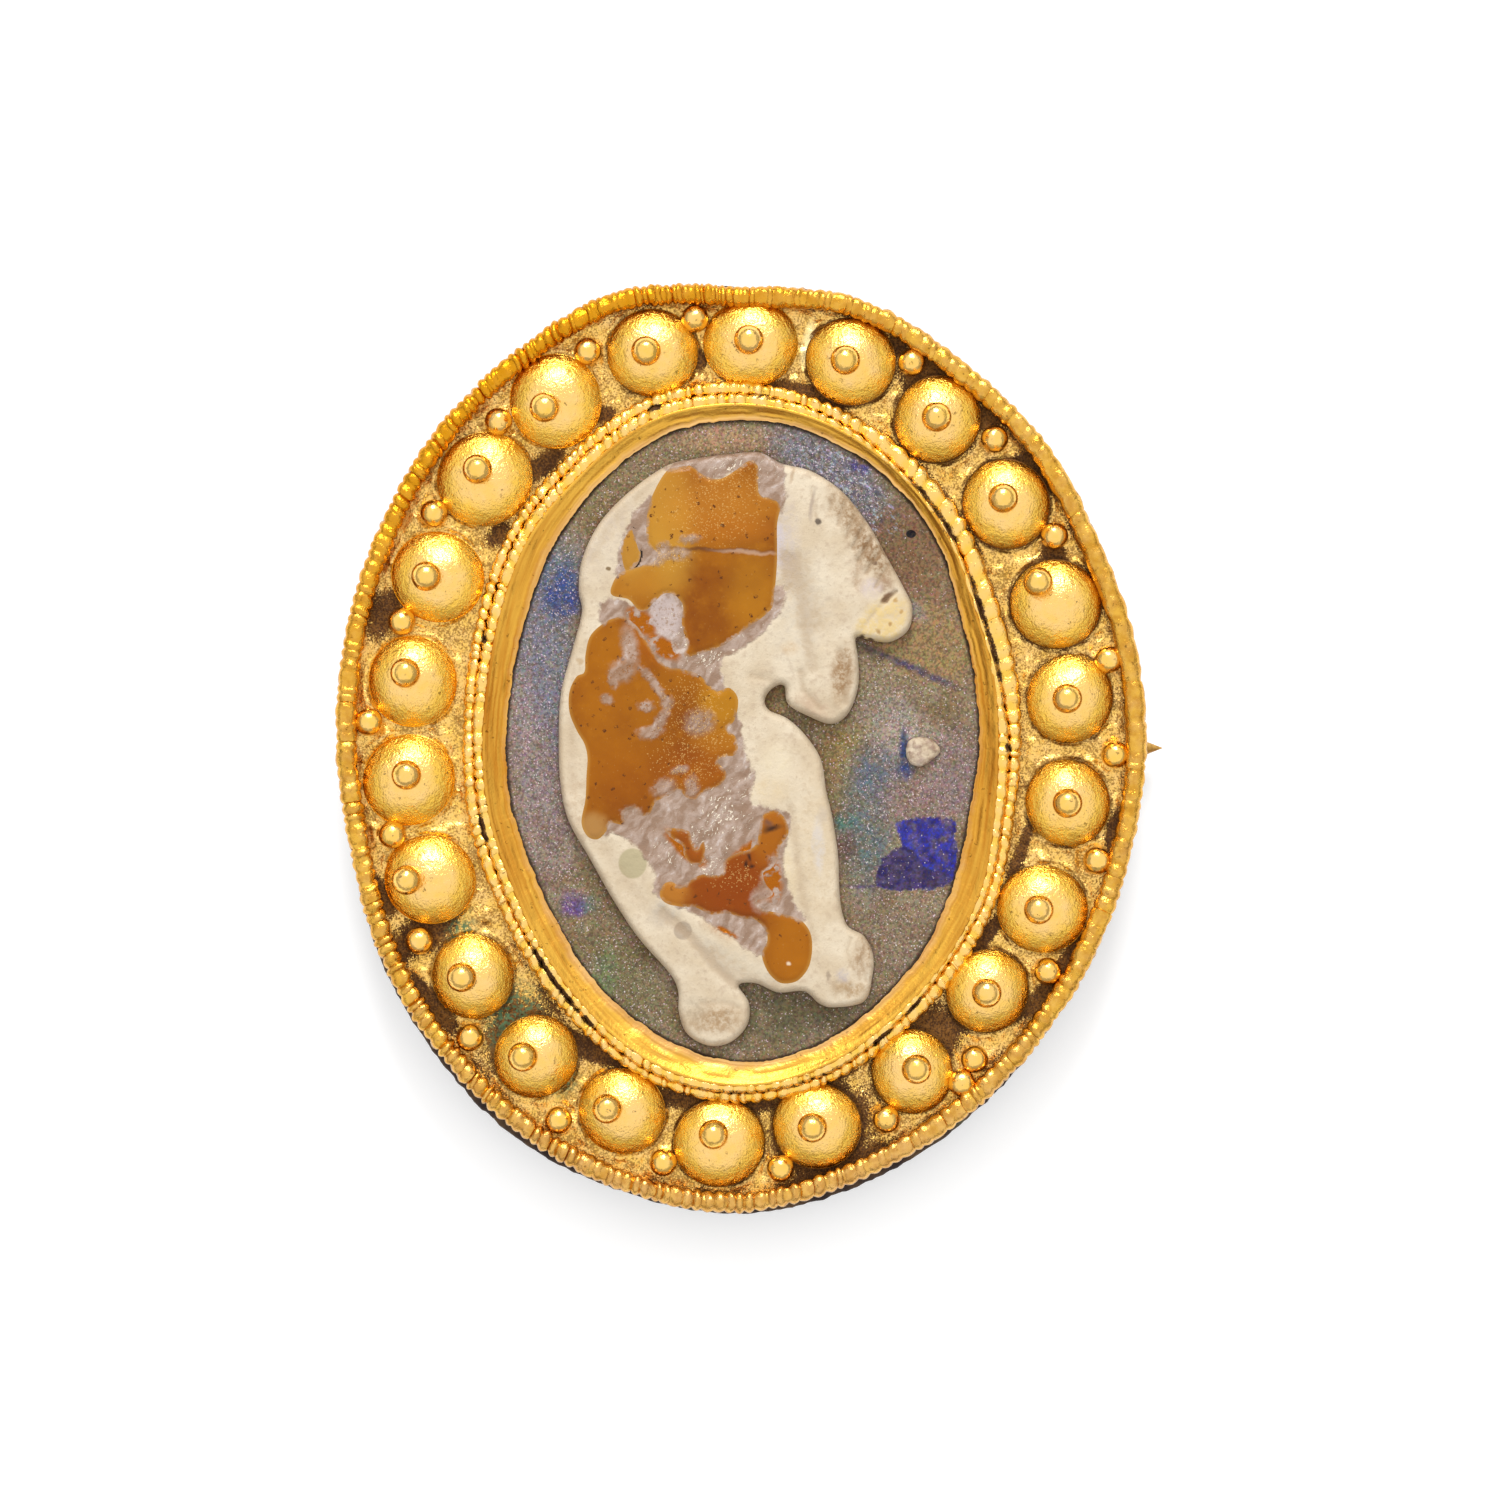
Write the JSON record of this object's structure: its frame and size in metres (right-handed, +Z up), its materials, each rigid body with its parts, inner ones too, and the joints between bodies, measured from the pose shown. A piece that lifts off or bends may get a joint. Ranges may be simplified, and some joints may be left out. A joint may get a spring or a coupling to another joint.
{
  "type": "glass cameo brooch",
  "caption": "Oval gold brooch whose collar holds a layered glass relief of a lion, ringed by domed bosses, granules and beaded wire, with a back plate and a straight pin.",
  "frame": {"origin": "on the surface that the brooch lies on, under the middle of its outline with the pin tip", "axes": "+Z up out of the face, +Y towards the top of the picture, +X towards the pin's tip"},
  "size_m": [0.0417, 0.0469, 0.007],
  "materials": {
    "gold": "worn satin gold",
    "plate_metal": "dark tarnished bronze",
    "pin_metal": "dull gilded bronze",
    "ground_glass": "dark weathered glass with an iridescent skin",
    "white_glass": "opaque matte white glass",
    "amber_glass": "glossy amber glass"
  },
  "bodies": {
    "root": {"brooch_pin": "pin_metal", "back_plate": "plate_metal", "gold_mount": "gold", "glass_ground": "ground_glass", "white_lion": "white_glass", "white_fleck": "white_glass", "amber_back": "amber_glass", "amber_flank": "amber_glass", "amber_thigh": "amber_glass"}
  },
  "joints": []
}
